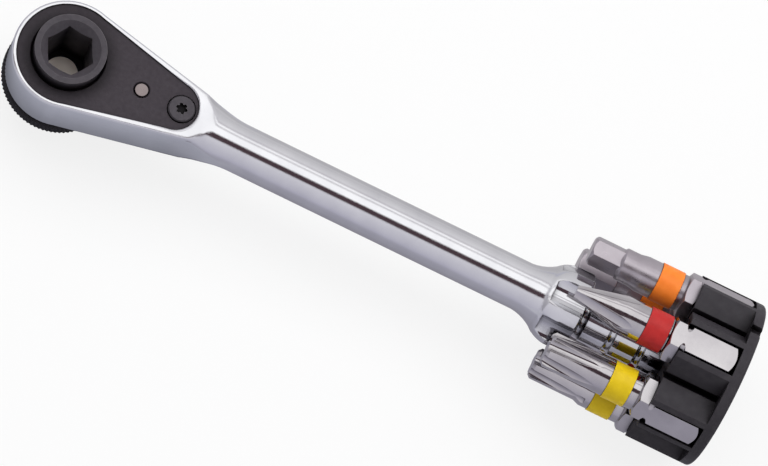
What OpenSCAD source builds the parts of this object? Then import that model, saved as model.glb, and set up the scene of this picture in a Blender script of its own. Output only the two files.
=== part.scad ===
// Mini bit ratchet with a revolver of screwdriver bits on its tail.
// X runs from the drive axis to the tail, and Z out of the cover plate.
// The origin is on the drive axis at the height of the handle's centre line.

/* [Head] */
// Radius of the head round the drive axis
head_r = 8.2; // [7.9:0.1:9.5]
// Thickness of the head
head_t = 8.8; // [8.4:0.1:10.5]
// Taper of each straight side of the head, in degrees
head_taper = 12.3; // [11:0.1:13]
// Rounding of the head's outer edges
head_edge = 0.45; // [0.3:0.05:0.6]
// Floor left under the gear pocket
floor_t = 1.8; // [1.4:0.1:2.2]

/* [Cover] */
// Flat rim left between the cover plate and the head's rounded edge
rim_flat = 0.15; // [0.1:0.01:0.3]
// Thickness of the cover plate
plate_t = 1.2; // [1:0.05:1.6]
// Depth of the cover plate's top face below the rim
plate_sink = 0.2; // [0.1:0.05:0.4]
// Distance from the drive axis to the centre of the plate's small end
plate_tip_x = 16.75; // [16.4:0.05:17.1]
// Radius of the plate's small end
plate_tip_r = 3.65; // [3.5:0.05:3.8]
// Distance from the drive axis to the cover screw
screw_x = 17.95; // [17.6:0.05:18.1]
// Radius of the cover screw's head
screw_head_r = 2; // [1.8:0.05:2.1]
// Radius of the cover screw's thread
screw_r = 1; // [0.8:0.05:1.2]
// Length of the screw's thread below the plate
screw_len = 2.2; // [1.8:0.1:2.4]

/* [Drive] */
// Width across the flats of the hexagon socket
socket_af = 6.4; // [6.35:0.05:6.6]
// Turn of the hexagon socket at rest, in degrees
socket_turn = -4; // [-30:1:30]
// Depth of the socket from its mouth to the magnet
socket_depth = 11; // [10:0.1:11.5]
// Outer radius of the collar round the socket
collar_r = 5.25; // [5:0.05:5.6]
// Height of the collar above the plate
collar_h = 2.5; // [1.5:0.1:3.5]
// Radius of the countersink at the collar's mouth
mouth_r = 4.4; // [4.2:0.05:4.7]
// Depth of the countersink
mouth_d = 1.2; // [0.6:0.1:1.4]
// Radius over the gear's teeth
gear_r = 6.4; // [6.2:0.05:6.6]
// Height of the gear's teeth
tooth_h = 0.6; // [0.5:0.05:0.7]
// Radius of the gear's lower hub
hub_r = 4.9; // [4.6:0.05:5.1]
// Radius of the magnet in the socket's floor
magnet_r = 2.5; // [2.2:0.05:2.8]
// Thickness of the magnet
magnet_t = 1.9; // [1.5:0.1:2.2]

/* [Thumbwheel] */
// How far the wheel's edge stands out past the head's radius
wheel_rim = 0.25; // [0.2:0.05:0.8]
// Thickness of the wheel
wheel_t = 2.4; // [2.2:0.1:3]
// Number of knurl ridges
knurls = 84; // [60:6:96]
// Depth of the knurl
knurl_d = 0.22; // [0.15:0.01:0.3]

/* [Ratchet] */
// Distance from the drive axis to the pawl's pivot
pivot_x = 11.6; // [11.4:0.05:11.9]
// Radius of the stem that carries the pawl and the lever
stem_r = 0.95; // [0.8:0.05:1.1]
// Turn of the pawl from its middle place to either side, in degrees
swing = 6.5; // [6.3:0.1:6.8]
// Radius of the pawl's hub
pawl_hub_r = 2.4; // [2.3:0.05:2.5]
// Length of the reversing lever from its pivot
lever_len = 8.4; // [7:0.1:10]
// Thickness of the reversing lever
lever_t = 1.8; // [1.4:0.1:2.2]
// Radius of the detent ball
ball_r = 0.8; // [0.7:0.05:0.9]

/* [Handle] */
// Radius of the handle
handle_r = 3.65; // [3.5:0.05:4]
// Place where the handle starts to flare into the bell
flare_x = 72.9; // [66:0.1:90]
// Radius of the bell's rim
bell_r = 6.2; // [6:0.05:6.6]
// Length of the bell's straight rim
bell_rim = 2.5; // [2:0.1:4]
// Radius of the spindle behind the bell
spindle_r = 3.6; // [3.4:0.05:3.8]
// Spacing of the ring grooves on the spindle
groove_pitch = 4.7; // [4.5:0.05:4.9]

/* [Bits] */
// Length of a bit
bit_len = 25; // [24:0.5:26]
// Width across the flats of a bit's shank
shank_af = 6.35; // [6.2:0.05:6.4]
// Length of a bit's hexagon shank
shank_len = 10.4; // [9.5:0.1:11]
// Radius of a bit's round neck
neck_r = 2.75; // [2.6:0.05:2.85]
// Radius over a bit's colour ring
ring_r = 2.9; // [2.85:0.01:3]
// Width of a bit's colour ring
ring_w = 3.5; // [2.5:0.1:3.6]
// Distance from the handle's axis to each bit's axis
bit_pitch_r = 9.45; // [9.4:0.05:9.8]
// Turn of the revolver about the handle, in degrees
revolver_turn = 3; // [0:1:59]

/* [Holder] */
// Wall round each hexagon pocket
pocket_wall = 1; // [0.8:0.05:1.3]
// Depth of each pocket
pocket_depth = 8.5; // [8:0.1:9.5]
// Thickness of the flange behind the pockets
flange_t = 1.7; // [1.6:0.1:2.5]
// Height of the holder's outer wall over the bits' outer flats
holder_lip = 0.28; // [0.2:0.01:0.5]
// Width of the notch in the flange's edge
notch_w = 1.6; // [1:0.1:2.5]

/* [Hidden] */
$fn = 64;

// Clearances: a running fit, a seated fit, an axial gap and an open gap
run_gap = 0.05;
seat_gap = 0.02;
axial_gap = 0.1;
open_gap = 0.3;
// Overshoot of a cutting solid past the face that it cuts, and overlap of joined solids
over = 1;
lap = 0.4;
// Depth by which a curve crosses the face that it would otherwise only touch
cross_in = 0.03;

// Heights in the head
top_z = head_t / 2;
plate_z = top_z - plate_sink;
seat_z = plate_z - plate_t;
floor_z = floor_t - top_z;
gear_top_z = seat_z - axial_gap;
gear_bottom_z = floor_z + axial_gap;
collar_z = plate_z + collar_h;
screw_rise = 0.35;
screw_edge = 0.2;
screw_room = 0.15;
screw_top_z = plate_z + screw_rise;
wheel_r = head_r + wheel_rim;
wheel_top_z = -top_z - 2 * axial_gap;
wheel_bottom_z = wheel_top_z - wheel_t;
hub_bottom_z = wheel_bottom_z + axial_gap;
magnet_z = collar_z - socket_depth;

// Thumbwheel clip, in a groove of the gear's hub and a recess of the wheel
clip_t = 0.5;
clip_w = 0.9;
clip_groove = 0.4;
clip_inset = 0.35;
clip_z = hub_bottom_z + clip_inset;
clip_split = 60;

// Outline of the head and of the neck behind it
side_r = head_r - cross_in;
side_x = side_r * sin(head_taper);
side_slope = tan(head_taper);
side_y0 = side_r / cos(head_taper);
neck_fillet = 14;
neck_steps = 4;
neck_t = head_t - 3 * head_edge;
rough_t = head_t + 2 * cross_in;
neck_w = handle_r + run_gap;
neck_meet_x = (side_y0 - neck_w) / side_slope;
neck_tangent = neck_fillet * tan(head_taper / 2);
neck_start_x = neck_meet_x - neck_tangent * cos(head_taper);
neck_end_x = neck_meet_x + neck_tangent;
crown_fillet = 14;
crown_run = 4.9;
crown_share = 0.9;
crown_end_x = neck_end_x + crown_run;
crown_wide_x = crown_end_x - crown_share * crown_fillet;
crown_wide_r = handle_r + crown_fillet - sqrt(pow(crown_fillet, 2) - pow(crown_end_x - crown_wide_x, 2));
plate_r = head_r - head_edge - rim_flat - run_gap;

// Gear teeth and the pawl that meets them
teeth = 36;
tooth_land = 0.2;
root_land = 0.15;
root_r = gear_r - tooth_h;
gear_room = 0.35;
pocket_r = gear_r + gear_room;
nose_angle = 3 * 360 / teeth;
nose_gap = 0.15;
nose_land = 0.16;
nose_flank = 22;
nose_root = 0.9;
nose_base_r = gear_r + nose_root;
block_r = gear_r + over;
arm_x = 6.5;
arm_y = 4.8;
arm_toe_x = 5.2;
arm_toe_y = 4;
pawl_waist = pawl_hub_r - 2 * axial_gap;
pawl_room_w = 11.2;
pawl_room_run = 1.2;
pawl_room_x = gear_r + pawl_room_run;
pawl_room_r = pawl_hub_r + 2 * axial_gap;
roof_cut = 0.3;
pawl_flat = pawl_hub_r - roof_cut;
pawl_ridge = pawl_flat / cos(swing);
pawl_bottom_z = gear_bottom_z + axial_gap;
pawl_t = gear_top_z - gear_bottom_z - 2 * axial_gap;

// Detent ball and its spring, in a bore behind the pawl
ball_x = pivot_x + pawl_ridge + seat_gap + ball_r;
ball_z = -ball_r - axial_gap;
detent_bore_r = ball_r + run_gap;
wire_r = 0.12;
spring_r = ball_r - wire_r - run_gap;
spring_len = 2.6;
spring_turns = 6;
spring_sides = 8;
spring_steps = 14;
spring_x = ball_x + sqrt(ball_r * ball_r - spring_r * spring_r) + wire_r;
detent_end_x = spring_x + spring_len + wire_r;

// Lever under the head
lever_hub_r = 2.1;
lever_tip_r = 1.3;
lever_z = -top_z - 2 * axial_gap;
lever_ridges = 3;
lever_ridge_pitch = 1.1;
lever_ridge_h = 0.35;

// Bell: a hollow curve, then a round one, up to the rim
flare_angle = 38;
flare_rise = bell_r - handle_r;
flare_sum = flare_rise / (1 - cos(flare_angle));
hollow_share = 0.6;
flare_hollow = hollow_share * flare_sum;
flare_round = flare_sum - flare_hollow;
flare_mid_x = flare_x + flare_hollow * sin(flare_angle);
rim_x = flare_mid_x + flare_round * sin(flare_angle);
bell_end_x = rim_x + bell_rim;
bell_edge = 0.5;

// Bits and holder along the handle
tip_overlap = 2.75;
bit_x = bell_end_x - tip_overlap;
bit_end_x = bit_x + bit_len;
holder_floor_x = bit_end_x + axial_gap;
holder_x = holder_floor_x - pocket_depth;
holder_end_x = holder_floor_x + flange_t;
holder_r = bit_pitch_r + shank_af / 2 + holder_lip;
nest_depth = 1.6;
nest_r = 2.6;
nest_len = 5.2;
pocket_af = shank_af + 2 * run_gap;
tube_af = pocket_af + 2 * pocket_wall;
window_w = 4.4;
hub_rise = 1.2;
holder_hub_r = bit_pitch_r - shank_af / 2 + hub_rise;
flange_edge = 0.6;
notch_angle = 25;
notch_d = 1;

// Ring grooves and clips on the spindle
groove_r = 0.6;
groove_sink = 0.15;
groove_inset = 0.65;
snap_wire_r = 0.4;
snap_rise = 0.25;
snap_r = spindle_r + snap_rise;
snap_inset = 0.95;
snap_x = holder_x + snap_inset;
free_grooves = floor((snap_x - bell_end_x - groove_inset) / groove_pitch);
groove_x = snap_x - free_grooves * groove_pitch;
grooves = free_grooves + 2;
snap_split = 30;
end_clip_t = 0.5;
end_clip_r = 4.6;
end_clip_inset = 1.15;
end_clip_x = holder_end_x - end_clip_inset;
end_clip_groove_r = 2.9;
end_clip_split = 70;
recess_r = end_clip_r + open_gap;
recess_x = end_clip_x - run_gap;
spindle_end_x = end_clip_x + end_clip_t + open_gap;

// Bit details, measured from the tip
shank_x = bit_len - shank_len;
shank_chamfer = 0.7;
shank_taper = 0.5;
corner_r = shank_af / 2 / cos(30);
notch_ring_r = 0.55;
notch_from_shank = 2.3;
ring_sink = 0.3;
ring_groove_r = neck_r - ring_sink;
tip_chamfer = 0.45;
hex_ring_back = 4.2;
hex_ring_at = shank_x - hex_ring_back;
hex_step = 1.3;
hex_step_back = 2.2;
hex_step_at = hex_ring_at - hex_step_back;
hex_bevel = 0.7;
cross_ring_back = 3.7;
cross_ring_at = shank_x - cross_ring_back;
cross_cone_back = 3.6;
cross_cone_at = cross_ring_at - cross_cone_back;
cross_flute_back = 1.6;
cross_flute_at = cross_ring_at - cross_flute_back;
cross_core_r = 0.7;
cross_flute_r = 1.6;
star_ring_back = 4.7;
star_ring_at = shank_x - star_ring_back;
star_lobes = 6;
star_run_back = 1.3;
star_run = star_ring_at - star_run_back;
star_flute_back = 1.9;
star_flute_at = star_ring_at - star_flute_back;
star_cut_r = 0.95;
star_depth = 0.34;

// Colours as seen
chrome = [0.82, 0.83, 0.86];
black_steel = [0.2, 0.19, 0.2];
nickel = [0.66, 0.63, 0.65];
black_plastic = [0.1, 0.1, 0.11];
orange = [0.95, 0.42, 0.05];
red = [0.72, 0.06, 0.06];
yellow = [0.9, 0.78, 0.05];

// Shared shapes

// Two circles and the straight sides that touch both
module teardrop(r1, r2, d) {
  a = acos((r1 - r2) / d);
  p1 = r1 - cross_in;
  p2 = r2 - cross_in;
  circle(r1);
  translate([d, 0])
    circle(r2);
  polygon([
    p1 * [cos(a), sin(a)],
    p1 * [cos(a), -sin(a)],
    [d, 0] + p2 * [cos(a), -sin(a)],
    [d, 0] + p2 * [cos(a), sin(a)]
  ]);
}

// Half of a bar's section, from x = -reach to x = w, with two rounded corners
module rounded_section(w, t, edge, reach) {
  translate([-reach, -t / 2 + edge])
    square([reach + w, t - 2 * edge]);
  translate([-reach, -t / 2])
    square([reach + w - edge, t]);
  for (s = [-1, 1])
    translate([w - edge, s * (t / 2 - edge)])
      circle(edge);
}

// Turns a shape drawn in X and Y, with Y as its radius, about the X axis
module revolve_x() {
  rotate([90, 0, 90])
    rotate_extrude()
      rotate([0, 0, -90])
        mirror([1, 0])
          children();
}

// Flat ring with a gap, from radius r1 to r2
module split_ring(r1, r2, t, gap_angle) {
  rotate([0, 0, gap_angle / 2])
    rotate_extrude(angle = 360 - gap_angle)
      translate([r1, 0])
        square([r2 - r1, t]);
}

module place_pivot() {
  translate([pivot_x, 0, 0])
    children();
}

// Wrench body

module head_disc() {
  rotate_extrude()
    intersection() {
      rounded_section(head_r, rough_t, head_edge, over);
      translate([0, -head_t])
        square([2 * head_r, 2 * head_t]);
    }
}

// Straight sides of the head with rounded edges, run on inside the neck
module head_wedge() {
  start_x = side_x - lap / 2;
  intersection() {
    translate([start_x, -head_r, -head_t])
      cube([crown_end_x + lap - start_x, 2 * head_r, 2 * head_t]);
    head_side(1);
    head_side(-1);
  }
}

module head_side(s) {
  rotate([0, 0, s * (90 - head_taper)])
    rotate([90, 0, 0])
      linear_extrude(4 * neck_end_x, center = true)
        rounded_section(side_r, rough_t, head_edge, 2 * head_r);
}

// Sides of the neck: straight steps that touch a fillet, each run on inside the others
module neck_plan() {
  from_x = neck_start_x - lap;
  to_x = crown_end_x + lap;
  for (k = [0:neck_steps - 1])
    let (
      a = head_taper * k / neck_steps,
      x = neck_end_x - neck_fillet * sin(a),
      y = neck_w + neck_fillet * (1 - cos(a))
    )
    linear_extrude(neck_t, center = true)
      polygon([
        [from_x, -y - (x - from_x) * tan(a)],
        [to_x, -y - (x - to_x) * tan(a)],
        [to_x, y + (x - to_x) * tan(a)],
        [from_x, y + (x - from_x) * tan(a)]
      ]);
}

// Everything that the turned shape may fill: the head's plan, then all of the shaft
module body_plan() {
  head_wedge();
  neck_plan();
  translate([crown_end_x, -head_r, -head_r])
    cube([spindle_end_x - crown_end_x + over, 2 * head_r, 2 * head_r]);
}

// Half profile of the neck's crown, the handle, the bell and the spindle
module body_profile() {
  square([crown_wide_x + lap, crown_wide_r]);
  difference() {
    translate([crown_wide_x, 0])
      square([crown_end_x + lap - crown_wide_x, crown_wide_r]);
    translate([crown_end_x, handle_r + crown_fillet])
      circle(crown_fillet);
    translate([crown_end_x, handle_r])
      square([over, crown_wide_r]);
  }
  translate([crown_wide_x, 0])
    square([bell_end_x - crown_wide_x, handle_r]);
  difference() {
    translate([flare_x, 0])
      square([flare_mid_x - flare_x, handle_r + flare_hollow * (1 - cos(flare_angle))]);
    translate([flare_x, handle_r + flare_hollow - cross_in])
      circle(flare_hollow);
  }
  intersection() {
    translate([rim_x, bell_r - flare_round])
      circle(flare_round + cross_in);
    translate([flare_mid_x - lap, 0])
      square([rim_x - flare_mid_x + 2 * lap, bell_r]);
  }
  translate([rim_x, 0])
    square([bell_rim - bell_edge, bell_r]);
  translate([rim_x, 0])
    square([bell_rim, bell_r - bell_edge]);
  translate([bell_end_x - bell_edge, bell_r - bell_edge])
    circle(bell_edge);
  difference() {
    translate([rim_x, 0])
      square([spindle_end_x - rim_x, spindle_r]);
    for (i = [0:grooves - 1])
      translate([groove_x + i * groove_pitch, spindle_r + groove_sink])
        circle(groove_r);
    translate([end_clip_x - seat_gap, end_clip_groove_r])
      square([end_clip_t + 2 * seat_gap, spindle_r]);
  }
}

// Space for the gear, the pawl and the cover plate
module head_pocket() {
  translate([0, 0, seat_z])
    linear_extrude(top_z - seat_z + over)
      teardrop(plate_r + run_gap, plate_tip_r + run_gap, plate_tip_x);
  translate([0, 0, floor_z])
    linear_extrude(seat_z - floor_z + axial_gap) {
      circle(pocket_r);
      translate([pivot_x, 0])
        circle(pawl_room_r);
      polygon([
        [pivot_x, pawl_hub_r],
        [pivot_x, -pawl_hub_r],
        [pawl_room_x, -pawl_room_w / 2],
        [gear_r / 2, -pawl_room_w / 2],
        [gear_r / 2, pawl_room_w / 2],
        [pawl_room_x, pawl_room_w / 2]
      ]);
    }
  translate([0, 0, -top_z - over])
    cylinder(h = floor_t + 2 * over, r = hub_r + run_gap);
  translate([pivot_x, 0, -top_z - over])
    cylinder(h = floor_t + 2 * over, r = stem_r + run_gap);
  translate([screw_x, 0, seat_z - screw_len - axial_gap])
    cylinder(h = screw_len + over, r = screw_r + seat_gap);
  translate([pivot_x, 0, ball_z])
    rotate([0, 90, 0])
      cylinder(h = detent_end_x - pivot_x, r = detent_bore_r);
}

// Hollow in the bell's rim that gives room to the tip of a bit
module nest(turn) {
  rotate([revolver_turn - turn, 0, 0])
    translate([bell_end_x - nest_len, 0, bell_r - nest_depth + nest_r])
      rotate([0, 90, 0])
        cylinder(h = nest_len + over, r = nest_r);
}

// Neck, handle, bell and spindle, with a nest in the bell's rim for each bit
module body_shaft() {
  difference() {
    intersection() {
      revolve_x()
        body_profile();
      body_plan();
    }
    for (i = [0:5])
      nest(60 * i);
  }
}

// Trims the top and bottom of the head to flat faces
module head_faces() {
  for (s = [0, 1])
    mirror([0, 0, s])
      translate([-2 * head_r, -2 * head_r, top_z])
        cube([crown_end_x + 2 * head_r, 4 * head_r, over]);
}

module wrench_body() {
  color(chrome)
    difference() {
      union() {
        head_disc();
        body_shaft();
      }
      head_faces();
      head_pocket();
    }
}

// Cover

module cover_plate() {
  color(black_steel)
    difference() {
      translate([0, 0, seat_z])
        linear_extrude(plate_t)
          teardrop(plate_r, plate_tip_r, plate_tip_x);
      translate([0, 0, seat_z - over])
        cylinder(h = plate_t + 2 * over, r = collar_r + run_gap);
      translate([0, 0, plate_z - open_gap])
        cylinder(h = open_gap + over, r1 = collar_r + run_gap, r2 = collar_r + run_gap + open_gap + over);
      translate([pivot_x, 0, seat_z - over])
        cylinder(h = plate_t + 2 * over, r = stem_r + run_gap);
      translate([pivot_x, 0, plate_z - open_gap])
        cylinder(h = open_gap + over, r1 = stem_r + run_gap, r2 = stem_r + run_gap + open_gap + over);
      translate([screw_x, 0, seat_z - over])
        cylinder(h = plate_t + 2 * over, r = screw_r + 2 * run_gap);
      translate([screw_x, 0, plate_z - screw_head_t()])
        cylinder(h = plate_t, r = screw_head_r + screw_room);
    }
}

// The head's seat leaves a third of the plate below it
function screw_head_t() = plate_t * 2 / 3;

module cover_screw() {
  drive_r = 0.88;
  drive_lobe_r = 0.24;
  drive_share = 0.8;
  drive_d = screw_head_t() * drive_share;
  color(black_steel)
    translate([screw_x, 0, 0])
      difference() {
        union() {
          rotate_extrude()
            polygon([
              [0, plate_z - screw_head_t()],
              [screw_head_r, plate_z - screw_head_t()],
              [screw_head_r, screw_top_z - screw_edge],
              [screw_head_r - screw_edge, screw_top_z],
              [0, screw_top_z]
            ]);
          translate([0, 0, seat_z - screw_len])
            cylinder(h = screw_len + plate_t / 2, r = screw_r);
        }
        translate([0, 0, screw_top_z - drive_d])
          linear_extrude(drive_d + over) {
            circle(drive_r - drive_lobe_r);
            for (i = [0:star_lobes - 1])
              rotate([0, 0, i * 360 / star_lobes])
                translate([drive_r - drive_lobe_r, 0])
                  circle(drive_lobe_r);
          }
      }
}

// Drive

// Teeth with straight flanks, the same both ways round, with a space on the X axis
module gear_outline() {
  tip_half = asin(tooth_land / 2 / gear_r);
  root_half = 180 / teeth - asin(root_land / 2 / root_r);
  polygon([
    for (i = [0:teeth - 1])
      for (p = [[root_r, -root_half], [gear_r, -tip_half], [gear_r, tip_half], [root_r, root_half]])
        let (turn = (i + 0.5) * 360 / teeth + p[1])
        p[0] * [cos(turn), sin(turn)]
  ]);
}

module drive_gear() {
  color(black_steel)
    difference() {
      union() {
        translate([0, 0, gear_bottom_z])
          linear_extrude(gear_top_z - gear_bottom_z)
            gear_outline();
        translate([0, 0, gear_bottom_z + over])
          cylinder(h = collar_z - gear_bottom_z - over, r = collar_r);
        translate([0, 0, hub_bottom_z])
          cylinder(h = gear_bottom_z - hub_bottom_z + over, r = hub_r);
      }
      translate([0, 0, magnet_z])
        rotate([0, 0, socket_turn])
          cylinder(h = socket_depth + over, r = socket_af / 2 / cos(30), $fn = 6);
      translate([0, 0, collar_z - mouth_d])
        cylinder(h = mouth_d, r1 = socket_af / 2, r2 = mouth_r);
      translate([0, 0, collar_z])
        cylinder(h = over, r = mouth_r);
      translate([0, 0, hub_bottom_z - over])
        cylinder(h = magnet_z - hub_bottom_z + 2 * over, r = magnet_r + seat_gap);
      translate([0, 0, clip_z - seat_gap])
        difference() {
          cylinder(h = clip_t + 2 * seat_gap, r = hub_r + over);
          cylinder(h = clip_t + 2 * seat_gap, r = hub_r - clip_groove);
        }
    }
}

module socket_magnet() {
  color(nickel)
    translate([0, 0, magnet_z - magnet_t])
      cylinder(h = magnet_t, r = magnet_r);
}

module thumbwheel() {
  edge = 0.35;
  color(black_steel)
    difference() {
      intersection() {
        translate([0, 0, wheel_bottom_z])
          linear_extrude(wheel_t)
            polygon([
              for (i = [0:2 * knurls - 1])
                (wheel_r - (i % 2) * knurl_d) * [cos(i * 180 / knurls), sin(i * 180 / knurls)]
            ]);
        rotate_extrude()
          polygon([
            [0, wheel_bottom_z],
            [wheel_r - edge, wheel_bottom_z],
            [wheel_r + over, wheel_bottom_z + edge + over],
            [wheel_r + over, wheel_top_z - edge - over],
            [wheel_r - edge, wheel_top_z],
            [0, wheel_top_z]
          ]);
      }
      translate([0, 0, wheel_bottom_z - over])
        cylinder(h = wheel_t + 2 * over, r = hub_r + seat_gap);
      translate([0, 0, wheel_bottom_z - over])
        cylinder(h = clip_z + clip_t + seat_gap - wheel_bottom_z + over, r = hub_r + clip_w);
    }
}

module thumbwheel_clip() {
  color(nickel)
    translate([0, 0, clip_z])
      split_ring(hub_r - clip_groove + seat_gap, hub_r + clip_w - open_gap, clip_t, clip_split);
}

// Ratchet

// Wedge that sits in a tooth space on one side when the pawl is turned to that side
module pawl_nose(s) {
  tip = root_r + nose_gap;
  base_w = nose_land / 2 + (nose_base_r - tip) * tan(nose_flank);
  rotate([0, 0, -s * swing])
    translate([-pivot_x, 0, 0])
      rotate([0, 0, s * nose_angle])
        linear_extrude(pawl_t)
          polygon([
            [tip, -nose_land / 2],
            [nose_base_r, -base_w],
            [nose_base_r, base_w],
            [tip, nose_land / 2]
          ]);
}

// Hub and two arms in the middle place, with a roof of two flats at the back
module pawl_arms() {
  difference() {
    union() {
      cylinder(h = pawl_t, r = pawl_hub_r);
      linear_extrude(pawl_t)
        polygon([
          [0, pawl_waist],
          [0, -pawl_waist],
          [arm_x - pivot_x, -arm_y],
          [arm_toe_x - pivot_x, -arm_toe_y],
          [arm_toe_x - pivot_x, arm_toe_y],
          [arm_x - pivot_x, arm_y]
        ]);
    }
    translate([-pivot_x, 0, -over])
      cylinder(h = pawl_t + 2 * over, r = block_r);
    for (s = [-1, 1])
      rotate([0, 0, s * swing])
        translate([pawl_flat, -pawl_hub_r, -over])
          cube([pawl_hub_r, 2 * pawl_hub_r, pawl_t + 2 * over]);
  }
}

module pawl() {
  color(nickel)
    place_pivot()
      translate([0, 0, pawl_bottom_z])
        difference() {
          rotate([0, 0, swing])
            union() {
              pawl_arms();
              pawl_nose(1);
              pawl_nose(-1);
            }
          translate([0, 0, -over])
            cylinder(h = pawl_t + 2 * over, r = stem_r + seat_gap);
        }
}

module lever_stem() {
  color(nickel)
    place_pivot()
      translate([0, 0, lever_z - lever_t + axial_gap])
        cylinder(h = plate_z - lever_z + lever_t - axial_gap, r = stem_r);
}

module reversing_lever() {
  ridge_x = lever_len - lever_tip_r - (lever_ridges - 1) * lever_ridge_pitch;
  color(black_steel)
    place_pivot()
      rotate([0, 0, swing])
        difference() {
          union() {
            translate([0, 0, lever_z - lever_t])
              linear_extrude(lever_t)
                teardrop(lever_hub_r, lever_tip_r, lever_len - lever_tip_r);
            for (i = [0:lever_ridges - 1])
              translate([ridge_x + i * lever_ridge_pitch, 0, lever_z - lever_t])
                rotate([90, 0, 0])
                  cylinder(h = 2 * lever_tip_r - open_gap, r = lever_ridge_h, center = true);
          }
          translate([0, 0, lever_z - lever_t - over])
            cylinder(h = lever_t + 2 * over, r = stem_r + seat_gap);
        }
}

module detent_ball() {
  color(nickel)
    translate([ball_x, 0, ball_z])
      sphere(ball_r);
}

// Coil spring along X: rings of points joined into one tube
module detent_spring() {
  steps = spring_turns * spring_steps;
  points = [
    for (i = [0:steps])
      for (k = [0:spring_sides - 1])
        let (
          turn = i * 360 / spring_steps,
          side = k * 360 / spring_sides,
          r = spring_r + wire_r * cos(side)
        )
        [i * spring_len / steps + wire_r * sin(side), r * cos(turn), r * sin(turn)]
  ];
  walls = [
    for (i = [0:steps - 1])
      for (k = [0:spring_sides - 1])
        let (
          a = i * spring_sides + k,
          b = i * spring_sides + (k + 1) % spring_sides
        )
        [a, a + spring_sides, b + spring_sides, b]
  ];
  first = [for (k = [0:spring_sides - 1]) k];
  last = [for (k = [0:spring_sides - 1]) steps * spring_sides + spring_sides - 1 - k];
  color(nickel)
    translate([spring_x, 0, ball_z])
      polyhedron(points, concat([first], walls, [last]));
}

// Bits

// Puts a bit that points along Z, tip first, in a place of the revolver
module place_bit(turn) {
  rotate([revolver_turn - turn, 0, 0])
    translate([bit_x, 0, bit_pitch_r])
      rotate([0, 90, 0])
        children();
}

// Hexagon shank with chamfered ends and a ball notch at each corner
module shank() {
  difference() {
    intersection() {
      translate([0, 0, shank_x])
        rotate([0, 0, 30])
          cylinder(h = shank_len, r = corner_r, $fn = 6);
      union() {
        translate([0, 0, shank_x])
          cylinder(h = shank_taper, r1 = neck_r, r2 = corner_r + seat_gap);
        translate([0, 0, shank_x + shank_taper])
          cylinder(h = shank_len - shank_taper - shank_chamfer, r = corner_r + over);
        translate([0, 0, bit_len - shank_chamfer])
          cylinder(h = shank_chamfer, r1 = corner_r + seat_gap, r2 = corner_r - shank_chamfer);
      }
    }
    translate([0, 0, shank_x + notch_from_shank])
      rotate_extrude()
        translate([corner_r + notch_ring_r / 3, 0])
          circle(notch_ring_r);
  }
}

// Round neck with a groove for the colour ring
module neck(from, ring_at) {
  difference() {
    translate([0, 0, from])
      cylinder(h = shank_x + lap - from, r = neck_r);
    translate([0, 0, ring_at])
      difference() {
        cylinder(h = ring_w, r = neck_r + over);
        cylinder(h = ring_w, r = ring_groove_r);
      }
  }
}

module colour_ring(turn, ring_at, shade) {
  color(shade)
    place_bit(turn)
      translate([0, 0, ring_at + seat_gap])
        difference() {
          cylinder(h = ring_w - 2 * seat_gap, r = ring_r);
          translate([0, 0, -over])
            cylinder(h = ring_w + 2 * over, r = ring_groove_r + seat_gap);
        }
}

// Hexagon tip, then a waist that steps up to the neck
module hex_bit(turn, af, tip_len, waist_r) {
  tip_r = af / 2 / cos(30);
  tip_end = tip_len + lap;
  color(nickel)
    place_bit(turn) {
      shank();
      intersection() {
        rotate([0, 0, 30])
          cylinder(h = tip_end, r = tip_r, $fn = 6);
        cylinder(h = tip_end, r1 = tip_r - tip_chamfer, r2 = tip_r - tip_chamfer + tip_end);
      }
      rotate_extrude()
        polygon([
          [0, tip_len - hex_bevel],
          [waist_r - hex_bevel, tip_len - hex_bevel + lap / 2],
          [waist_r, tip_len + lap / 2],
          [waist_r, hex_step_at - hex_step],
          [neck_r, hex_step_at],
          [neck_r, hex_step_at + lap],
          [0, hex_step_at + lap]
        ]);
      neck(hex_step_at, hex_ring_at);
    }
}

// Cone with four grooves that lean out of it
module cross_bit(turn, point_r) {
  lean = atan((neck_r - cross_core_r) / cross_flute_at);
  color(nickel)
    place_bit(turn) {
      shank();
      difference() {
        union() {
          rotate_extrude()
            polygon([
              [0, 0],
              [point_r, 0],
              [neck_r, cross_cone_at],
              [neck_r, cross_cone_at + lap],
              [0, cross_cone_at + lap]
            ]);
          neck(cross_cone_at, cross_ring_at);
        }
        for (k = [0:3])
          rotate([0, 0, 45 + 90 * k])
            translate([cross_core_r + cross_flute_r / cos(lean), 0, 0])
              rotate([0, lean, 0])
                translate([0, 0, -over])
                  cylinder(h = cross_flute_at + 3 * over, r = cross_flute_r);
      }
    }
}

// Lobed tip with grooves that lean out of it
module star_bit(turn, tip_r) {
  cut = star_cut_r * tip_r / neck_r;
  depth = star_depth * tip_r;
  lean = atan(depth / star_flute_at);
  color(nickel)
    place_bit(turn) {
      shank();
      difference() {
        union() {
          rotate_extrude()
            polygon([
              [0, 0],
              [tip_r - tip_chamfer, 0],
              [tip_r, tip_chamfer],
              [tip_r, star_run - over],
              [neck_r, star_run],
              [neck_r, star_run + lap],
              [0, star_run + lap]
            ]);
          neck(star_run, star_ring_at);
        }
        for (k = [0:star_lobes - 1])
          rotate([0, 0, k * 360 / star_lobes])
            translate([tip_r - depth + cut / cos(lean), 0, 0])
              rotate([0, lean, 0])
                translate([0, 0, -over])
                  cylinder(h = star_flute_at + 2 * over, r = cut);
      }
    }
}

// Each bit's place round the revolver, in degrees, and the size of its tip
cross_large_turn = 0;
hex_small_turn = 60;
hex_large_turn = 120;
cross_small_turn = 180;
star_small_turn = 240;
star_large_turn = 300;
hex_small_af = 4;
hex_small_len = 4.7;
hex_small_waist = 2.5;
hex_large_af = 5;
hex_large_len = 5.8;
hex_large_waist = 2.4;
cross_large_r = 0.95;
cross_small_r = 0.8;
star_large_r = 2.7;
star_small_r = 2.4;

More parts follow.
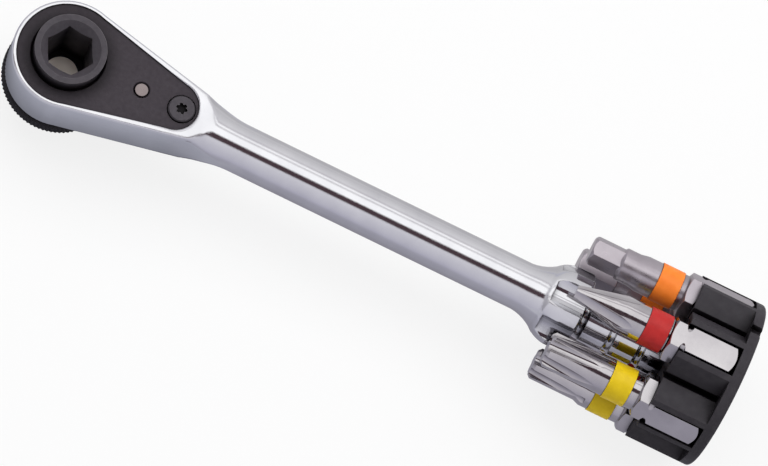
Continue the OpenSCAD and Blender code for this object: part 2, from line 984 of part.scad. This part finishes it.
module hex_bit_large() {
  hex_bit(hex_large_turn, hex_large_af, hex_large_len, hex_large_waist);
}
module hex_ring_large() {
  colour_ring(hex_large_turn, hex_ring_at, orange);
}
module hex_bit_small() {
  hex_bit(hex_small_turn, hex_small_af, hex_small_len, hex_small_waist);
}
module hex_ring_small() {
  colour_ring(hex_small_turn, hex_ring_at, orange);
}
module cross_bit_large() {
  cross_bit(cross_large_turn, cross_large_r);
}
module cross_ring_large() {
  colour_ring(cross_large_turn, cross_ring_at, red);
}
module cross_bit_small() {
  cross_bit(cross_small_turn, cross_small_r);
}
module cross_ring_small() {
  colour_ring(cross_small_turn, cross_ring_at, red);
}
module star_bit_large() {
  star_bit(star_large_turn, star_large_r);
}
module star_ring_large() {
  colour_ring(star_large_turn, star_ring_at, yellow);
}
module star_bit_small() {
  star_bit(star_small_turn, star_small_r);
}
module star_ring_small() {
  colour_ring(star_small_turn, star_ring_at, yellow);
}

// Holder

// Rounds the flange's rear edge
module holder_round() {
  revolve_x() {
    translate([holder_x, 0])
      square([holder_end_x - flange_edge - holder_x, holder_r]);
    translate([holder_x, 0])
      square([holder_end_x - holder_x, holder_r - flange_edge]);
    translate([holder_end_x - flange_edge, holder_r - flange_edge])
      circle(flange_edge);
  }
}

module hex_prism(turn, af, h) {
  place_bit(turn)
    translate([0, 0, holder_x - bit_x])
      rotate([0, 0, 30])
        cylinder(h = h, r = af / 2 / cos(30), $fn = 6);
}

module bit_holder() {
  color(black_plastic)
    difference() {
      intersection() {
        union() {
          for (i = [0:5])
            hex_prism(60 * i, tube_af, pocket_depth + over / 2);
          translate([holder_x, 0, 0])
            rotate([0, 90, 0])
              cylinder(h = pocket_depth + over / 2, r = holder_hub_r);
          translate([holder_floor_x, 0, 0])
            rotate([0, 90, 0])
              cylinder(h = flange_t + over, r = holder_r + over);
        }
        holder_round();
      }
      for (i = [0:5]) {
        translate([-over, 0, 0])
          hex_prism(60 * i, pocket_af, pocket_depth + over);
        place_bit(60 * i)
          translate([-2 * holder_r, -window_w / 2, holder_x - bit_x - over])
            cube([2 * holder_r - shank_af / 4, window_w, pocket_depth + over]);
      }
      translate([holder_x - over, 0, 0])
        rotate([0, 90, 0])
          cylinder(h = holder_end_x - holder_x + 2 * over, r = spindle_r + run_gap);
      translate([recess_x, 0, 0])
        rotate([0, 90, 0])
          cylinder(h = holder_end_x - recess_x + over, r = recess_r);
      translate([snap_x - snap_wire_r - run_gap, 0, 0])
        rotate([0, 90, 0])
          cylinder(h = 2 * (snap_wire_r + run_gap), r = snap_r + snap_wire_r + open_gap);
      rotate([-notch_angle, 0, 0])
        translate([holder_floor_x, -notch_w / 2, holder_r - notch_d])
          cube([flange_t + over, notch_w, notch_d + over]);
    }
}

module holder_snap_ring() {
  color(nickel)
    translate([snap_x, 0, 0])
      rotate([0, 90, 0])
        rotate([0, 0, snap_split / 2])
          rotate_extrude(angle = 360 - snap_split)
            translate([snap_r, 0])
              circle(snap_wire_r);
}

module spindle_clip() {
  color(nickel)
    translate([end_clip_x, 0, 0])
      rotate([0, 90, 0])
        split_ring(end_clip_groove_r + seat_gap, end_clip_r, end_clip_t, end_clip_split);
}

wrench_body();
cover_plate();
cover_screw();
drive_gear();
thumbwheel();
thumbwheel_clip();
socket_magnet();
pawl();
lever_stem();
reversing_lever();
detent_ball();
detent_spring();
bit_holder();
holder_snap_ring();
spindle_clip();
hex_bit_large();
hex_ring_large();
hex_bit_small();
hex_ring_small();
cross_bit_large();
cross_ring_large();
cross_bit_small();
cross_ring_small();
star_bit_large();
star_ring_large();
star_bit_small();
star_ring_small();
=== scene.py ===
"""Looks of the mini ratchet wrench: finishes, fine surface detail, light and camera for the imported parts."""

import math

import bpy
from mathutils import Matrix, Vector

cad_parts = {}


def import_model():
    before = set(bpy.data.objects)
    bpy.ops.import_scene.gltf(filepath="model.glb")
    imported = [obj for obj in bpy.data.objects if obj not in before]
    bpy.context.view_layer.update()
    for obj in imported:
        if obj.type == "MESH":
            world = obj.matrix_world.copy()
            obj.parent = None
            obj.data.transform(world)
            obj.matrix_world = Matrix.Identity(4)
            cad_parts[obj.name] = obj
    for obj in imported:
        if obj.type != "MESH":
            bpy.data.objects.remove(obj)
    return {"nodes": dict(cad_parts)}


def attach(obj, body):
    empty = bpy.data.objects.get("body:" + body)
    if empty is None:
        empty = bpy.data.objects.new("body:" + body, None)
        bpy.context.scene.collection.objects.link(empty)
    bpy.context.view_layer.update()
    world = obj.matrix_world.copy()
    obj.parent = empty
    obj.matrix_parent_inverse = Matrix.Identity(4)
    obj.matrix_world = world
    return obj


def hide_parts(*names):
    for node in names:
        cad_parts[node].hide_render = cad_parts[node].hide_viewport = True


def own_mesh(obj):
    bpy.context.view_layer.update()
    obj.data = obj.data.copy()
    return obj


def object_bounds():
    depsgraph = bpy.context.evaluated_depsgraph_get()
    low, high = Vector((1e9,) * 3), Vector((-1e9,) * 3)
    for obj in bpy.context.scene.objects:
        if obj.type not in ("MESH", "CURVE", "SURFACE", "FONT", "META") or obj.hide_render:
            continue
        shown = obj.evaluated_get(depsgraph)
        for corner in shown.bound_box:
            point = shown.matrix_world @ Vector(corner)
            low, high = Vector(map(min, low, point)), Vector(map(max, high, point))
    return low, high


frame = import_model()
NODES = frame["nodes"]
CAD_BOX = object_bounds()

MM = 0.001
UP = Vector((0, 0, 1))
WHITE = (1.0, 1.0, 1.0)
WHOLE = (0.0, 1.0)
SHADER_SAMPLES = 8

# Values of a noise between which a surface runs from one state to the other
NOISE_SPAN = (0.3, 0.7)
STEEL_SPAN = (0.25, 0.75)
EDGE_HIGHLIGHT_SPAN = (0.35, 0.65)

# Features of each noise per metre
CLOUD_SCALE = 260.0
METAL_GLOSS_SCALE = 900.0
STEEL_MOTTLE_SCALE = 1400.0
STEEL_GLOSS_SCALE = 700.0
STEEL_GRAIN_SCALE = 5200.0
PLASTIC_MOTTLE_SCALE = 800.0
PLASTIC_GLOSS_SCALE = 1200.0
EDGE_HIGHLIGHT_SCALE = 900.0
FLOOR_SCALE = 6.0

# Detail of a noise: few steps for a fine grain, more for a mottle
FINE_DETAIL = 3.0
PLAIN_DETAIL = 4.0
CLOUD_DETAIL = 5.0
MOTTLE_DETAIL = 6.0

# Openness at which the painted shade in a hollow is darkest and where a surface is left unshaded, and the
# colours of the painted shade in the darkest hollows
METAL_HOLLOWS = (0.35, 0.85)
STEEL_HOLLOWS = (0.45, 0.98)
COLLAR_HOLLOWS = (0.68, 0.98)
PLASTIC_HOLLOWS = (0.35, 0.97)
BAND_HOLLOWS = (0.15, 0.80)
HOLLOW_REACH = 3.0 * MM
METAL_HOLLOW_SHADE = (0.030, 0.028, 0.033)
BLACK_HOLLOW_SHADE = (0.003, 0.002, 0.003)

# Painted edge highlights: cosines of the rounding's turn where an edge is fully lightened and where it keeps
# its colour, and the most of the colour that noise leaves on an edge
EDGE_TURN = (0.80, 0.985)
EDGE_KEPT = 0.75

# Stretches of the handle where the wide rounding comes in and goes out
NECK_BLEND = (14 * MM, 22 * MM)
BELL_BLEND = (77 * MM, 79 * MM)

STEEL_GLOSS = 0.14
STEEL_GRAIN_DEPTH = 0.010 * MM

# Floor
FLOOR_Z = CAD_BOX[0].z - 0.05 * MM
FLOOR_SIZE = 3.0
FLOOR_ROUGH = 0.9
FLOOR_DARK = (0.80, 0.80, 0.80)
FLOOR_LIGHT = (0.82, 0.82, 0.82)
FLOOR_WHITE = 0.82

# Cards: the point they face, sizes in metres and the heights between which an end card grows paler
MIDDLE = Vector((0.049, 0.0, 0.0))
CARD_LENGTH = 4.0
END_CARD_HEIGHTS = (-0.1, 0.8)
STRIP_STRENGTH = 1.43
STRIP_HIGH = (0.98, 0.98, 0.99)

# Card on the floor, seen only in reflections: its colours by metres across the handle and by metres out
# from the head's outline, darkest next to the tool as a painted shadow of it on the floor
FLOOR_CARD_Z = CAD_BOX[0].z - 0.02 * MM
FLOOR_CARD_SIZE = 1.2
FLOOR_CARD_FADE = (20 * MM, 32 * MM)
HEAD_LENGTH = 18 * MM
HEAD_RADII = (8.2 * MM, 4.3 * MM)
# Painted shadow: darkest just in front of the handle's line, paler further out
HANDLE_SHADOWED_FLOOR_STOPS = [
    (-0.12, (0.59, 0.58, 0.68)), (-0.0165, (0.43, 0.425, 0.49)), (-0.003, (0.31, 0.30, 0.345)),
    (0.009, (0.58, 0.57, 0.59)), (0.12, (0.78, 0.77, 0.79)),
]
# Painted shadow: nearly black at the head's outline, paler further out
HEAD_SHADOW_STOPS = [
    (0.0, (0.05, 0.05, 0.06)), (0.003, (0.25, 0.255, 0.295)), (0.0065, (0.50, 0.51, 0.59)),
    (0.02, (0.64, 0.64, 0.71)),
]

# Plain soft light
SOFT_LIGHT = (0.98, 0.99, 1.0)
SOFT_STRENGTH = 0.50

# Camera: sensor and lens in millimetres, its axes and its place in metres
SENSOR = 36.0
LENS = 228.1
CLIP_START = 0.01
CAMERA_X = (0.89745101, 0.39365250, 0.19904622)
CAMERA_Y = (-0.43713257, 0.85415138, 0.28167451)
CAMERA_Z = (-0.05913373, -0.33979866, 0.93863735)
CAMERA_AT = (0.01049, -0.24114, 0.66078)


# Node helpers


def new_material(name):
    """A new node material as (material, node tree, main shader)."""
    mat = bpy.data.materials.new(name)
    mat.use_nodes = True
    return mat, mat.node_tree, mat.node_tree.nodes["Principled BSDF"]


def noise(tree, scale, detail=PLAIN_DETAIL):
    """Noise over the object's own frame, with that many features per metre."""
    coord = tree.nodes.new("ShaderNodeTexCoord")
    tex = tree.nodes.new("ShaderNodeTexNoise")
    tex.inputs["Scale"].default_value = scale
    tex.inputs["Detail"].default_value = detail
    tree.links.new(coord.outputs["Object"], tex.inputs["Vector"])
    return tex.outputs["Fac"]


def ramp(tree, value, stops):
    """Colours by a value: stops are (place, colour)."""
    node = tree.nodes.new("ShaderNodeValToRGB")
    elements = node.color_ramp.elements
    while len(elements) < len(stops):
        elements.new(0.5)
    for element, (place, colour) in zip(elements, stops):
        element.position = place
        element.color = (*colour, 1.0)
    tree.links.new(value, node.inputs["Fac"])
    return node.outputs["Color"]


def placed_ramp(tree, place, stops):
    """Colours by a place in metres: stops are (metres, colour)."""
    first, last = stops[0][0], stops[-1][0]
    along = spread(tree, place, 0.0, 1.0, (first, last))
    return ramp(tree, along, [((metres - first) / (last - first), colour) for metres, colour in stops])


def mottle(tree, scale, detail, dark, light, span=NOISE_SPAN):
    """A noise of two colours that runs from dark to light over that span of its values."""
    return ramp(tree, noise(tree, scale, detail), list(zip(span, (dark, light))))


def spread(tree, value, low, high, span=NOISE_SPAN):
    """A value from low to high as another runs over that span."""
    node = tree.nodes.new("ShaderNodeMapRange")
    node.inputs["From Min"].default_value = span[0]
    node.inputs["From Max"].default_value = span[1]
    node.inputs["To Min"].default_value = low
    node.inputs["To Max"].default_value = high
    tree.links.new(value, node.inputs["Value"])
    return node.outputs["Result"]


def math_node(tree, operation, a, b):
    """One sum of two values that come from other nodes."""
    node = tree.nodes.new("ShaderNodeMath")
    node.operation = operation
    for socket, value in zip(node.inputs, (a, b)):
        tree.links.new(value, socket)
    return node.outputs["Value"]


def place_along(tree, axis):
    """The place along an axis of the object's own frame, in metres."""
    coord = tree.nodes.new("ShaderNodeTexCoord")
    part = tree.nodes.new("ShaderNodeSeparateXYZ")
    tree.links.new(coord.outputs["Object"], part.inputs["Vector"])
    return part.outputs[axis]


def colour_mix(tree, share):
    """A node that mixes two colours: its A shows where the share is none, its B where it is one."""
    mix = tree.nodes.new("ShaderNodeMix")
    mix.data_type = "RGBA"
    tree.links.new(share, mix.inputs["Factor"])
    return mix


def over_plain(tree, share, colour, plain):
    """A colour by its share over one plain colour, which shows where the share is none."""
    mix = colour_mix(tree, share)
    mix.inputs["A"].default_value = (*plain, 1.0)
    tree.links.new(colour, mix.inputs["B"])
    return mix.outputs["Result"]


def shader_mix(tree, share, first, second):
    """A shader that is the first where the share is none and the second where it is one."""
    mix = tree.nodes.new("ShaderNodeMixShader")
    tree.links.new(share, mix.inputs["Fac"])
    tree.links.new(first, mix.inputs[1])
    tree.links.new(second, mix.inputs[2])
    return mix.outputs["Shader"]


def rounded_edges(tree, radius, wide=None):
    """The normal with edges rounded by that radius in metres, or by a wide one on the neck and the flare."""
    node = tree.nodes.new("ShaderNodeBevel")
    node.samples = SHADER_SAMPLES
    node.inputs["Radius"].default_value = radius
    if wide:
        x = place_along(tree, "X")
        rise = spread(tree, x, 0.0, 1.0, NECK_BLEND)
        fall = spread(tree, x, 1.0, 0.0, BELL_BLEND)
        blend = math_node(tree, "MULTIPLY", rise, fall)
        tree.links.new(spread(tree, blend, radius, wide, WHOLE), node.inputs["Radius"])
    return node.outputs["Normal"]


def openness(tree, reach, hollows):
    """None in hollows narrower than that reach in metres, and one on open surfaces."""
    node = tree.nodes.new("ShaderNodeAmbientOcclusion")
    node.samples = SHADER_SAMPLES
    node.inputs["Distance"].default_value = reach
    return spread(tree, node.outputs["AO"], 0.0, 1.0, hollows)


def highlighted_edges(tree, normal, colour, edge_highlight):
    """The colour lightened along its edges as a painted highlight, broken up by noise."""
    shape = tree.nodes.new("ShaderNodeNewGeometry")
    turn = tree.nodes.new("ShaderNodeVectorMath")
    turn.operation = "DOT_PRODUCT"
    tree.links.new(normal, turn.inputs[0])
    tree.links.new(shape.outputs["Normal"], turn.inputs[1])
    flat = spread(tree, turn.outputs["Value"], 0.0, 1.0, EDGE_TURN)
    kept = spread(tree, noise(tree, EDGE_HIGHLIGHT_SCALE, CLOUD_DETAIL), EDGE_KEPT, 0.0, EDGE_HIGHLIGHT_SPAN)
    return over_plain(tree, math_node(tree, "MAXIMUM", flat, kept), colour, edge_highlight)


def relief(tree, shader, normal, height, depth):
    """Bumps of that depth in metres over a normal."""
    bump = tree.nodes.new("ShaderNodeBump")
    bump.inputs["Strength"].default_value = 1.0
    bump.inputs["Distance"].default_value = depth
    tree.links.new(normal, bump.inputs["Normal"])
    tree.links.new(height, bump.inputs["Height"])
    tree.links.new(bump.outputs["Normal"], shader.inputs["Normal"])


# Finishes


def metal(name, dark, light, rough, grain, depth, edge, hollow, wide_edge=None):
    """Plated metal with a cloudy tint, painted shade in hollows to that reach, uneven gloss and a fine grain.
    """
    mat, tree, shader = new_material(name)
    shader.inputs["Metallic"].default_value = 1.0
    cloud = mottle(tree, CLOUD_SCALE, CLOUD_DETAIL, dark, light)
    # Painted shade: hollows darken towards a near-black colour by how enclosed they are
    unshaded = openness(tree, hollow, METAL_HOLLOWS)
    tree.links.new(over_plain(tree, unshaded, cloud, METAL_HOLLOW_SHADE), shader.inputs["Base Color"])
    tree.links.new(spread(tree, noise(tree, METAL_GLOSS_SCALE), *rough), shader.inputs["Roughness"])
    relief(tree, shader, rounded_edges(tree, edge, wide_edge), noise(tree, grain), depth)
    return mat


def blackened(name, dark, light, edge_highlight, rough, edge, hollows=STEEL_HOLLOWS):
    """Blackened steel: dull, faintly mottled, sandy, with a painted highlight along its edges and painted
    shade in its hollows.
    """
    mat, tree, shader = new_material(name)
    shader.inputs["Specular IOR Level"].default_value = STEEL_GLOSS
    normal = rounded_edges(tree, edge)
    skin = mottle(tree, STEEL_MOTTLE_SCALE, MOTTLE_DETAIL, dark, light, STEEL_SPAN)
    # Painted highlight: edges lightened towards a pale colour where the rounding turns
    edge_lit = highlighted_edges(tree, normal, skin, edge_highlight)
    # Painted shade: hollows darken towards near black by how enclosed they are
    unshaded = openness(tree, HOLLOW_REACH, hollows)
    tree.links.new(over_plain(tree, unshaded, edge_lit, BLACK_HOLLOW_SHADE), shader.inputs["Base Color"])
    tree.links.new(spread(tree, noise(tree, STEEL_GLOSS_SCALE), *rough), shader.inputs["Roughness"])
    relief(tree, shader, normal, noise(tree, STEEL_GRAIN_SCALE, FINE_DETAIL), STEEL_GRAIN_DEPTH)
    return mat


def plastic(name, dark, light, rough, grain, depth, edge, gloss, hollows):
    """Moulded plastic or paint with a slight mottle, a fine grain and painted shade in its hollows."""
    mat, tree, shader = new_material(name)
    shader.inputs["Specular IOR Level"].default_value = gloss
    skin = mottle(tree, PLASTIC_MOTTLE_SCALE, CLOUD_DETAIL, dark, light)
    # Painted shade: hollows darken towards near black by how enclosed they are
    unshaded = openness(tree, HOLLOW_REACH, hollows)
    tree.links.new(over_plain(tree, unshaded, skin, BLACK_HOLLOW_SHADE), shader.inputs["Base Color"])
    tree.links.new(spread(tree, noise(tree, PLASTIC_GLOSS_SCALE), *rough), shader.inputs["Roughness"])
    relief(tree, shader, rounded_edges(tree, edge), noise(tree, grain, FINE_DETAIL), depth)
    return mat


def band(name, dark, light):
    """Lacquered colour band of a bit."""
    return plastic(
        name, dark, light, rough=(0.34, 0.46), grain=3000.0, depth=0.004 * MM, edge=0.08 * MM,
        gloss=0.14, hollows=BAND_HOLLOWS,
    )


# By the record's material slots
FINISHES = {
    "chrome": metal(
        "chrome_finish", dark=(0.61, 0.61, 0.635), light=(0.67, 0.67, 0.69), rough=(0.05, 0.09),
        grain=420.0, depth=0.002 * MM, edge=0.12 * MM, hollow=4.0 * MM, wide_edge=0.9 * MM,
    ),
    "black_steel": blackened(
        "black_steel_finish", dark=(0.038, 0.030, 0.038), light=(0.051, 0.042, 0.051),
        edge_highlight=(0.13, 0.12, 0.13), rough=(0.45, 0.58), edge=0.10 * MM,
    ),
    "nickel": metal(
        "nickel_finish", dark=(0.42, 0.40, 0.415), light=(0.51, 0.49, 0.50), rough=(0.08, 0.13),
        grain=2600.0, depth=0.001 * MM, edge=0.08 * MM, hollow=2.2 * MM,
    ),
    "black_plastic": plastic(
        "black_plastic_finish", dark=(0.035, 0.031, 0.037), light=(0.046, 0.042, 0.048), rough=(0.36, 0.50),
        grain=3800.0, depth=0.006 * MM, edge=0.12 * MM, gloss=0.10, hollows=PLASTIC_HOLLOWS,
    ),
    "orange": band("orange_finish", dark=(0.88, 0.205, 0.022), light=(0.96, 0.255, 0.034)),
    "red": band("red_finish", dark=(0.42, 0.020, 0.020), light=(0.50, 0.027, 0.026)),
    "yellow": band("yellow_finish", dark=(0.69, 0.475, 0.005), light=(0.78, 0.555, 0.010)),
}
SATIN = metal(
    "satin_nickel_finish", dark=(0.39, 0.355, 0.385), light=(0.46, 0.425, 0.455), rough=(0.27, 0.35),
    grain=3400.0, depth=0.0007 * MM, edge=0.14 * MM, hollow=2.2 * MM,
)
PIN = metal(
    "pin_finish", dark=(0.21, 0.175, 0.175), light=(0.29, 0.25, 0.245), rough=(0.25, 0.35),
    grain=3400.0, depth=0.002 * MM, edge=0.10 * MM, hollow=1.0 * MM,
)
# Painted light: the magnet's colour is lighter than its metal, to make up for the shade deep in its socket
MAGNET = metal(
    "magnet_finish", dark=(0.78, 0.70, 0.64), light=(0.90, 0.82, 0.75), rough=(0.50, 0.65),
    grain=3400.0, depth=0.002 * MM, edge=0.06 * MM, hollow=1.0 * MM,
)
COLLAR = blackened(
    "collar_finish", dark=(0.056, 0.049, 0.058), light=(0.072, 0.064, 0.074),
    edge_highlight=(0.17, 0.16, 0.17), rough=(0.42, 0.55), edge=0.14 * MM, hollows=COLLAR_HOLLOWS,
)
WHEEL = blackened(
    "wheel_finish", dark=(0.011, 0.009, 0.012), light=(0.018, 0.016, 0.019),
    edge_highlight=(0.060, 0.056, 0.060), rough=(0.50, 0.62), edge=0.06 * MM,
)
OWN_FINISH = {
    "hex_bit_large": SATIN, "hex_bit_small": SATIN, "lever_stem": PIN, "socket_magnet": MAGNET,
    "drive_gear": COLLAR, "cover_screw": COLLAR, "thumbwheel": WHEEL, "reversing_lever": WHEEL,
}


def dress_nodes():
    """Gives each CAD node the finish of its own slot, or its own finish."""
    for name, obj in NODES.items():
        slot = obj.data.materials[0].name.split(".")[0]
        obj.data.materials[0] = OWN_FINISH.get(name, FINISHES[slot])


def pressed_spring():
    """The detent's spring as its own piece on the wrench, shown in place of its CAD node."""
    piece = bpy.data.objects.new("pressed_spring", NODES["detent_spring"].data.copy())
    bpy.context.scene.collection.objects.link(piece)
    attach(piece, "wrench")
    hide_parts("detent_spring")
    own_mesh(piece)


# Floor, light and camera


def seen_directly(tree):
    """One for rays that show the background: from the camera, off metal and through glass."""
    path = tree.nodes.new("ShaderNodeLightPath")
    seen = math_node(tree, "MAXIMUM", path.outputs["Is Camera Ray"], path.outputs["Is Glossy Ray"])
    return math_node(tree, "MAXIMUM", seen, path.outputs["Is Transmission Ray"])


def floor_material():
    """Pale floor with a faint mottle, mostly white of itself to the eye, and clear from below."""
    mat, tree, shader = new_material("floor")
    shader.inputs["Roughness"].default_value = FLOOR_ROUGH
    shader.inputs["Specular IOR Level"].default_value = 0.0
    pale = mottle(tree, FLOOR_SCALE, PLAIN_DETAIL, FLOOR_DARK, FLOOR_LIGHT)
    tree.links.new(pale, shader.inputs["Base Color"])
    glow = tree.nodes.new("ShaderNodeEmission")
    white = spread(tree, seen_directly(tree), 0.0, FLOOR_WHITE, WHOLE)
    top = shader_mix(tree, white, shader.outputs["BSDF"], glow.outputs["Emission"])
    side = tree.nodes.new("ShaderNodeNewGeometry")
    clear = tree.nodes.new("ShaderNodeBsdfTransparent")
    sided = shader_mix(tree, side.outputs["Backfacing"], top, clear.outputs["BSDF"])
    tree.links.new(sided, tree.nodes["Material Output"].inputs["Surface"])
    return mat


def facing(at, towards, axis):
    """The place of an object whose own axis points from one point to another."""
    turn = (Vector(towards) - Vector(at)).to_track_quat(axis, "Y")
    return Matrix.Translation(at) @ turn.to_matrix().to_4x4()


def plane(name, place, width, height):
    """A flat rectangle at a place."""
    mesh = bpy.data.meshes.new(name)
    x, y = width / 2, height / 2
    mesh.from_pydata([(-x, -y, 0), (x, -y, 0), (x, y, 0), (-x, y, 0)], [], [(0, 1, 2, 3)])
    obj = bpy.data.objects.new(name, mesh)
    bpy.context.scene.collection.objects.link(obj)
    obj.matrix_world = place
    return obj


def floor():
    """The floor just under the part."""
    at = Vector((MIDDLE.x, MIDDLE.y, FLOOR_Z))
    obj = plane("floor", facing(at, at + UP, "Z"), FLOOR_SIZE, FLOOR_SIZE)
    obj.data.materials.append(floor_material())


def softbox(name, at, towards, width, height, radiance):
    """A soft rectangular lamp of that brightness. Metal shows the cards instead of it."""
    lamp = bpy.data.lights.new(name, "AREA")
    lamp.shape = "RECTANGLE"
    lamp.size = width
    lamp.size_y = height
    lamp.energy = radiance * math.pi * width * height
    obj = bpy.data.objects.new(name, lamp)
    bpy.context.scene.collection.objects.link(obj)
    obj.matrix_world = facing(at, towards, "-Z")
    obj.visible_camera = False
    obj.visible_glossy = False


def glow_card(obj, stops, strength=1.0):
    """A plane as a glowing card that shows only in reflections. Stops are (place along its Y, colour)."""
    mat, tree, shader = new_material(obj.name)
    tree.nodes.remove(shader)
    glow = tree.nodes.new("ShaderNodeEmission")
    glow.inputs["Strength"].default_value = strength
    tree.links.new(placed_ramp(tree, place_along(tree, "Y"), stops), glow.inputs["Color"])
    tree.links.new(glow.outputs["Emission"], tree.nodes["Material Output"].inputs["Surface"])
    obj.data.materials.append(mat)
    obj.visible_camera = False
    obj.visible_diffuse = False
    obj.visible_shadow = False
    return tree, glow


def card_round(name, tilts, reach, low, high, strength=1.0):
    """A long card between two tilts round the handle's axis, in degrees from straight up to the viewer."""
    middle = math.radians(sum(tilts) / 2)
    rise = reach * math.tan(math.radians((tilts[1] - tilts[0]) / 2))
    at = MIDDLE + reach * Vector((0.0, -math.sin(middle), math.cos(middle)))
    obj = plane(name, facing(at, MIDDLE, "Z"), CARD_LENGTH, 2 * rise)
    glow_card(obj, [(-rise, low), (rise, high)], strength)


def end_card(name, x, low, high):
    """A card across the scene at one end of the tool, paler towards its top."""
    obj = plane(name, facing((x, 0.0, 0.0), MIDDLE, "Z"), CARD_LENGTH, CARD_LENGTH)
    glow_card(obj, list(zip(END_CARD_HEIGHTS, (low, high))))


def past_head(tree):
    """The distance outwards from the head's outline, in metres: a taper round a stretch of the X axis."""
    x, y = place_along(tree, "X"), place_along(tree, "Y")
    inside = spread(tree, x, 0.0, HEAD_LENGTH, (0.0, HEAD_LENGTH))
    radius = spread(tree, x, *HEAD_RADII, (0.0, HEAD_LENGTH))
    gap = tree.nodes.new("ShaderNodeCombineXYZ")
    length = tree.nodes.new("ShaderNodeVectorMath")
    length.operation = "LENGTH"
    tree.links.new(math_node(tree, "SUBTRACT", x, inside), gap.inputs["X"])
    tree.links.new(y, gap.inputs["Y"])
    tree.links.new(gap.outputs["Vector"], length.inputs[0])
    return math_node(tree, "SUBTRACT", length.outputs["Value"], radius)


def shadowed_floor_card(name):
    """A card on the floor, coloured across the handle and, at the head, out from its outline, with a painted
    shadow next to the tool.
    """
    place = Matrix.Translation((0.0, 0.0, FLOOR_CARD_Z))
    obj = plane(name, place, FLOOR_CARD_SIZE, FLOOR_CARD_SIZE)
    tree, glow = glow_card(obj, HANDLE_SHADOWED_FLOOR_STOPS)
    mix = colour_mix(tree, spread(tree, place_along(tree, "X"), 0.0, 1.0, FLOOR_CARD_FADE))
    tree.links.new(placed_ramp(tree, past_head(tree), HEAD_SHADOW_STOPS), mix.inputs["A"])
    tree.links.new(glow.inputs["Color"].links[0].from_socket, mix.inputs["B"])
    tree.links.new(mix.outputs["Result"], glow.inputs["Color"])


def world():
    """White to the eye and in reflections, plain soft light otherwise."""
    scene_world = bpy.data.worlds.new("studio")
    bpy.context.scene.world = scene_world
    scene_world.use_nodes = True
    tree = scene_world.node_tree
    light = tree.nodes["Background"]
    light.inputs["Color"].default_value = (*SOFT_LIGHT, 1.0)
    light.inputs["Strength"].default_value = SOFT_STRENGTH
    white = tree.nodes.new("ShaderNodeBackground")
    white.inputs["Color"].default_value = (*WHITE, 1.0)
    white.inputs["Strength"].default_value = 1.0
    mix = shader_mix(tree, seen_directly(tree), light.outputs["Background"], white.outputs["Background"])
    tree.links.new(mix, tree.nodes["World Output"].inputs["Surface"])


def camera():
    """The camera, matched to the photograph."""
    data = bpy.data.cameras.new("camera")
    data.sensor_width = SENSOR
    data.lens = LENS
    data.clip_start = CLIP_START
    obj = bpy.data.objects.new("camera", data)
    bpy.context.scene.collection.objects.link(obj)
    axes = Matrix((CAMERA_X, CAMERA_Y, CAMERA_Z)).transposed().to_4x4()
    obj.matrix_world = Matrix.Translation(CAMERA_AT) @ axes
    bpy.context.scene.camera = obj


dress_nodes()
pressed_spring()
floor()
softbox(
    "top_lamp", at=(0.05, 0.205, 0.50), towards=(0.05, 0.02, 0.0), width=1.0, height=0.43, radiance=2.4
)
card_round("back_card", (-96.0, -50.0), 0.50, low=(0.70, 0.69, 0.71), high=(0.96, 0.95, 0.97))
card_round("rig", (-52.0, 4.0), 0.70, low=(0.80, 0.78, 0.81), high=(0.84, 0.82, 0.85))
card_round("strip_back", (-40.0, -31.0), 0.60, WHITE, STRIP_HIGH, STRIP_STRENGTH)
card_round("strip_front", (-24.0, 6.0), 0.60, WHITE, STRIP_HIGH, STRIP_STRENGTH)
card_round("flag", (6.0, 28.5), 0.58, low=(0.10, 0.068, 0.08), high=(0.08, 0.05, 0.06))
card_round("front_card", (28.0, 97.0), 0.50, low=(0.59, 0.58, 0.68), high=(0.90, 0.89, 0.94))
end_card("head_end_card", -0.9, low=(0.30, 0.29, 0.33), high=(0.85, 0.84, 0.88))
end_card("tail_end_card", 1.1, low=(0.16, 0.15, 0.17), high=(0.76, 0.75, 0.78))
shadowed_floor_card("shadowed_floor_card")
world()
camera()
bpy.context.scene.view_settings.view_transform = "Standard"
